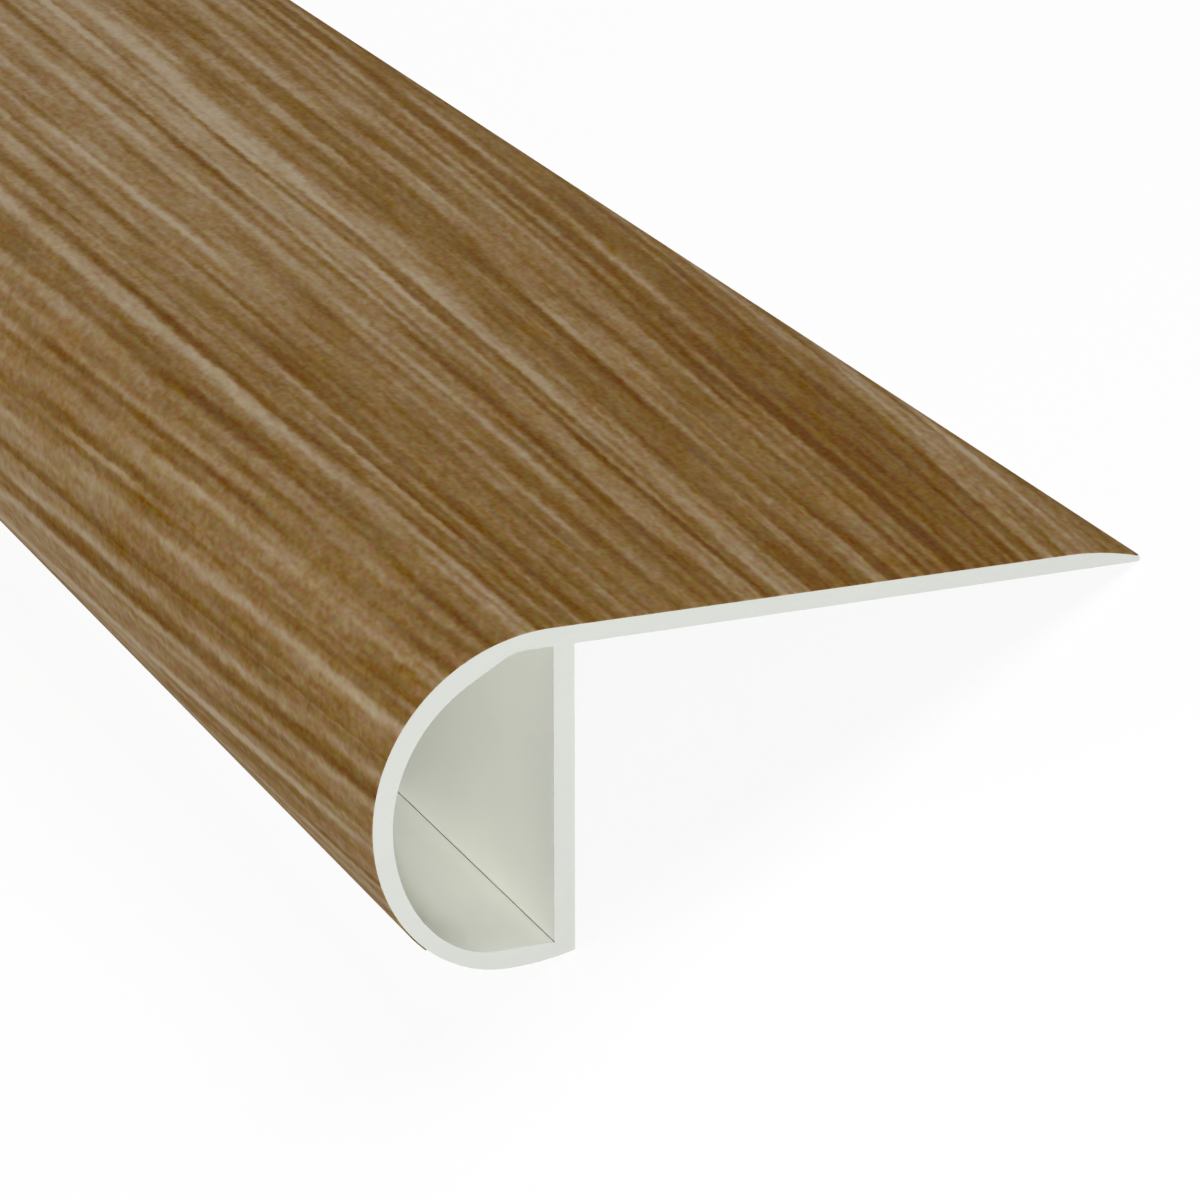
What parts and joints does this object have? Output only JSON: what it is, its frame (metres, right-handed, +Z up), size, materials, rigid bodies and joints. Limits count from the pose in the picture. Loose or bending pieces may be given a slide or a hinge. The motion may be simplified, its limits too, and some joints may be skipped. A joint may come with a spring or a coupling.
{
  "type": "stair nosing",
  "caption": "Low profile stair nosing: a hollow off-white PVC profile with a thin flange, wrapped in wood-look film.",
  "frame": {"origin": "on the floor that the stick lies on, at the middle of its length and of its width", "axes": "+X from the nose towards the flange's edge, +Y along the stick, +Z up as it lies"},
  "size_m": [0.071, 1.2, 0.0285],
  "materials": {
    "off_white_pvc": "matte extruded rigid PVC",
    "wood_print_film": "satin printed film with a brown wood grain along the length"
  },
  "bodies": {
    "root": {"pvc_extrusion": "off_white_pvc", "decor_film": "wood_print_film"}
  },
  "joints": []
}
